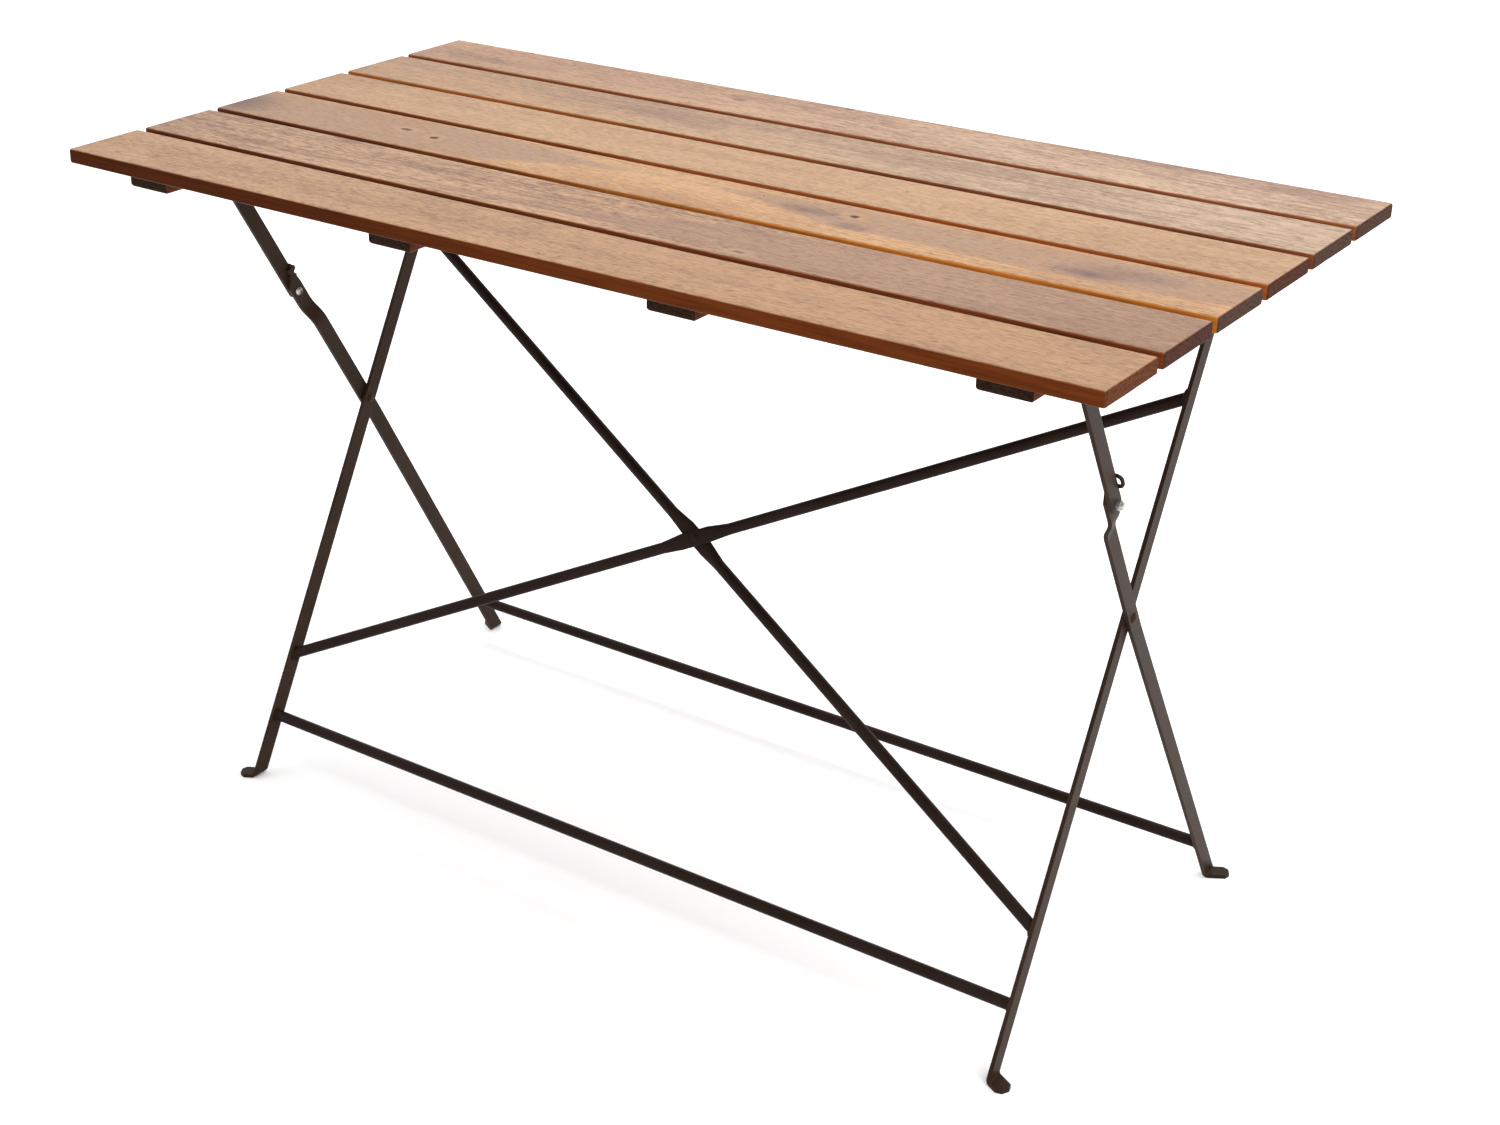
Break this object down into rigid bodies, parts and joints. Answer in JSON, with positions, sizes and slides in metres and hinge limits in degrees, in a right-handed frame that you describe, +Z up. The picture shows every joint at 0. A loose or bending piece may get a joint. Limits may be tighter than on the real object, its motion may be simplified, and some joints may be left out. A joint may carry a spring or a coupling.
{
  "type": "folding table",
  "caption": "Rectangular folding picnic table with a slatted wooden top and a flat-folding crossed steel frame with round stretchers and crossed braces.",
  "frame": {"origin": "on the floor below the centre of the table top, the bottom centre of the bounding box", "axes": "+X along the table top to the right, +Y across it away from the front edge, +Z up"},
  "size_m": [1.13, 0.6, 0.73],
  "materials": {
    "slat_wood": "oiled hardwood",
    "batten_wood": "dark stained hardwood",
    "painted_steel": "satin powder coat",
    "zinc_steel": "zinc plated"
  },
  "bodies": {
    "top": {"batten_1": "batten_wood", "batten_2": "batten_wood", "batten_3": "batten_wood", "batten_4": "batten_wood", "bracket_screws_left_far": "zinc_steel", "bracket_screws_left_near": "zinc_steel", "bracket_screws_right_far": "zinc_steel", "bracket_screws_right_near": "zinc_steel", "hinge_bracket_left_far": "painted_steel", "hinge_bracket_left_near": "painted_steel", "hinge_bracket_right_far": "painted_steel", "hinge_bracket_right_near": "painted_steel", "hinge_pin_left_far": "painted_steel", "hinge_pin_left_near": "painted_steel", "hinge_pin_right_far": "painted_steel", "hinge_pin_right_near": "painted_steel", "slat_1": "slat_wood", "slat_2": "slat_wood", "slat_3": "slat_wood", "slat_4": "slat_wood", "slat_5": "slat_wood", "slat_6": "slat_wood", "slat_screws_1": "zinc_steel", "slat_screws_2": "zinc_steel", "slat_screws_3": "zinc_steel", "slat_screws_4": "zinc_steel"},
    "inner_frame": {"brace_falling": "painted_steel", "brace_rising": "painted_steel", "brace_rivet": "painted_steel", "cross_rivet_left": "painted_steel", "cross_rivet_right": "painted_steel", "cross_washer_left": "painted_steel", "cross_washer_right": "painted_steel", "inner_leg_left": "painted_steel", "inner_leg_right": "painted_steel", "inner_stretcher": "painted_steel"},
    "outer_frame": {"knuckle_bolt_left": "zinc_steel", "knuckle_bolt_right": "zinc_steel", "outer_leg_left": "painted_steel", "outer_leg_right": "painted_steel", "outer_stretcher": "painted_steel"},
    "left_strut": {"strut_left": "painted_steel", "knuckle_nut_left": "zinc_steel"},
    "right_strut": {"strut_right": "painted_steel", "knuckle_nut_right": "zinc_steel"}
  },
  "joints": [
    {"name": "fold", "type": "hinge", "parent": "top", "child": "inner_frame", "pos_m": [0, 0.168, 0.6865], "axis": [-1, 0, 0], "range_deg": [0, 55.8]},
    {"name": "cross", "type": "hinge", "parent": "inner_frame", "child": "outer_frame", "pos_m": [0, 0.00922, 0.39038], "axis": [-1, 0, 0], "range_deg": [0, 56.26]},
    {"name": "left_strut_swing", "type": "hinge", "parent": "top", "child": "left_strut", "pos_m": [0, -0.168, 0.6865], "axis": [1, 0, 0], "range_deg": [0, 56.26]},
    {"name": "right_strut_swing", "type": "hinge", "parent": "top", "child": "right_strut", "pos_m": [0, -0.168, 0.6865], "axis": [1, 0, 0], "range_deg": [0, 56.26]}
  ],
  "couplings": [
    {"joint": "cross", "follows": "fold", "ratio": 1.0081},
    {"joint": "left_strut_swing", "follows": "fold", "ratio": 1.0081},
    {"joint": "right_strut_swing", "follows": "fold", "ratio": 1.0081}
  ]
}
